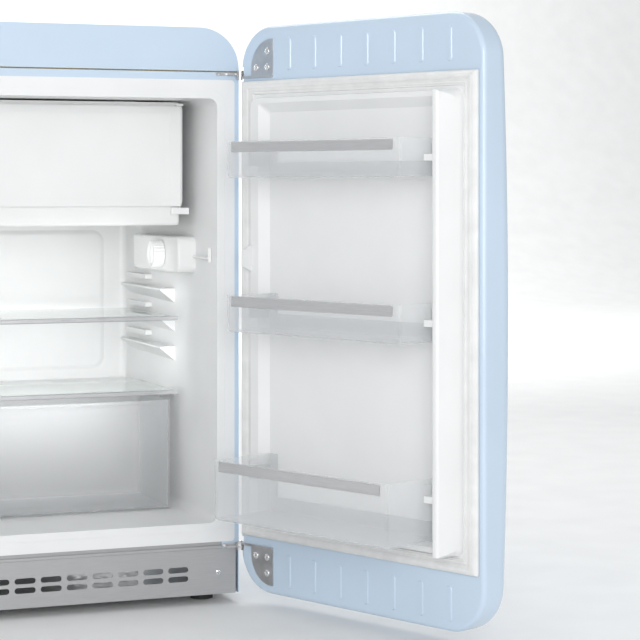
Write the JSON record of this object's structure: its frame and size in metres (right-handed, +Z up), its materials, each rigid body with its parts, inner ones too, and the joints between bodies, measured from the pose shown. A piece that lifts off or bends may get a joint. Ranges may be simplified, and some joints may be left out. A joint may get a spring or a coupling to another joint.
{
  "type": "refrigerator",
  "caption": "Retro one-door refrigerator with rounded blue cabinet and open pillow-fronted door, an inner ice box, glass shelves, a crisper drawer and door balconies.",
  "frame": {"origin": "middle of the base pan's underside, midway across the width and midway between the cabinet's front face and its rear panel; the feet reach 16 mm below it", "axes": "+Z up; the front faces -Y; +X is the side that carries the door hinge"},
  "size_m": [0.8266, 1.089, 0.961],
  "materials": {
    "blue_paint": "gloss enamel",
    "white_paint": "satin enamel",
    "dark_steel": "satin black",
    "zinc": "zinc plated",
    "liner_plastic": "smooth moulded",
    "white_plastic": "satin moulded",
    "clear_plastic": "clear moulded",
    "glass": "toughened clear",
    "brushed": "brushed",
    "chrome": "polished",
    "insulation": "rigid foam",
    "grey_plastic": "satin moulded",
    "black_rubber": "matte",
    "white_rubber": "matte",
    "aluminium": "anodised",
    "copper": "drawn copper"
  },
  "bodies": {
    "cabinet": {"cabinet_wrap": "blue_paint", "crown_fascia": "blue_paint", "front_frame": "blue_paint", "cabin_liner": "liner_plastic", "cabinet_foam": "insulation", "bottom_panel": "zinc", "back_panel": "zinc", "base_pan": "zinc", "rear_feet": "black_rubber", "plinth": "grey_plastic", "plinth_screws": "chrome", "compressor": "dark_steel", "compressor_mounts": "black_rubber", "relay_box": "grey_plastic", "evaporation_tray": "white_plastic", "drain_tube": "white_plastic", "condenser_tube": "dark_steel", "condenser_wires": "dark_steel", "condenser_clips": "white_plastic", "refrigerant_pipes": "copper", "cable_gland": "grey_plastic", "ice_box": "aluminium", "ice_box_trim": "white_plastic", "drip_tray": "white_plastic", "flap_brackets": "white_plastic", "lamp_cover": "white_plastic", "thermostat_housing": "white_plastic", "lamp": "glass", "top_hinge_bracket": "zinc", "bottom_hinge_bracket": "zinc", "hinge_pins": "chrome", "bracket_screws": "chrome"},
    "door": {"door_skin": "blue_paint", "door_frame": "blue_paint", "door_liner": "liner_plastic", "door_foam": "insulation", "door_gasket": "white_rubber", "handle_bar": "chrome", "handle_posts": "chrome", "top_hinge_plate": "zinc", "bottom_hinge_plate": "zinc", "hinge_plate_screws": "chrome"},
    "flap": {"ice_flap": "white_plastic", "flap_pin": "zinc"},
    "dial": {"thermostat_dial": "white_plastic"},
    "button": {"defrost_button": "grey_plastic"},
    "plunger": {"switch_plunger": "white_plastic"},
    "upper_shelf": {"upper_shelf_glass": "glass", "upper_shelf_trim": "brushed"},
    "lower_shelf": {"lower_shelf_glass": "glass", "lower_shelf_trim": "brushed"},
    "crisper": {"crisper_drawer": "clear_plastic"},
    "balcony_top": {"top_balcony": "clear_plastic", "top_balcony_strip": "brushed"},
    "balcony_middle": {"middle_balcony": "clear_plastic", "middle_balcony_strip": "brushed"},
    "balcony_bottom": {"bottom_balcony": "clear_plastic", "bottom_balcony_strip": "brushed"},
    "foot_left": {"front_foot_left": "black_rubber"},
    "foot_right": {"front_foot_right": "black_rubber"}
  },
  "joints": [
    {"name": "door_hinge", "type": "hinge", "parent": "cabinet", "child": "door", "pos_m": [0.2708, -0.2897, 0.47], "axis": [0, 0, 1], "range_deg": [-112.8, 17.2]},
    {"name": "flap_hinge", "type": "hinge", "parent": "cabinet", "child": "flap", "pos_m": [0.202, -0.1709, 0.732], "axis": [0, 0, 1], "range_deg": [0, 88]},
    {"name": "dial_turn", "type": "hinge", "parent": "cabinet", "child": "dial", "pos_m": [0.18762, -0.0805, 0.5625], "axis": [-1, 0, 0], "range_deg": [0, 300]},
    {"name": "button_press", "type": "slide", "parent": "cabinet", "child": "button", "axis": [1, 0, 0], "range_m": [0, 0.003], "stiffness_N_per_m": 300, "springref_m": -0.002},
    {"name": "switch_press", "type": "slide", "parent": "cabinet", "child": "plunger", "axis": [0, 1, 0], "range_m": [0, 0.008], "stiffness_N_per_m": 150, "springref_m": -0.002},
    {"name": "upper_shelf_slide", "type": "slide", "parent": "cabinet", "child": "upper_shelf", "axis": [0, -1, 0], "range_m": [0, 0.15]},
    {"name": "lower_shelf_slide", "type": "slide", "parent": "cabinet", "child": "lower_shelf", "axis": [0, -1, 0], "range_m": [0, 0.15]},
    {"name": "crisper_slide", "type": "slide", "parent": "cabinet", "child": "crisper", "axis": [0, -1, 0], "range_m": [0, 0.17]},
    {"name": "top_balcony_lift", "type": "slide", "parent": "door", "child": "balcony_top", "axis": [0, 0, 1], "range_m": [0, 0.03]},
    {"name": "middle_balcony_lift", "type": "slide", "parent": "door", "child": "balcony_middle", "axis": [0, 0, 1], "range_m": [0, 0.03]},
    {"name": "bottom_balcony_lift", "type": "slide", "parent": "door", "child": "balcony_bottom", "axis": [0, 0, 1], "range_m": [0, 0.03]},
    {"name": "left_foot_turn", "type": "hinge", "parent": "cabinet", "child": "foot_left", "pos_m": [-0.2255, -0.2205, 0], "axis": [0, 0, 1], "continuous": true},
    {"name": "right_foot_turn", "type": "hinge", "parent": "cabinet", "child": "foot_right", "pos_m": [0.2255, -0.2205, 0], "axis": [0, 0, 1], "continuous": true}
  ]
}
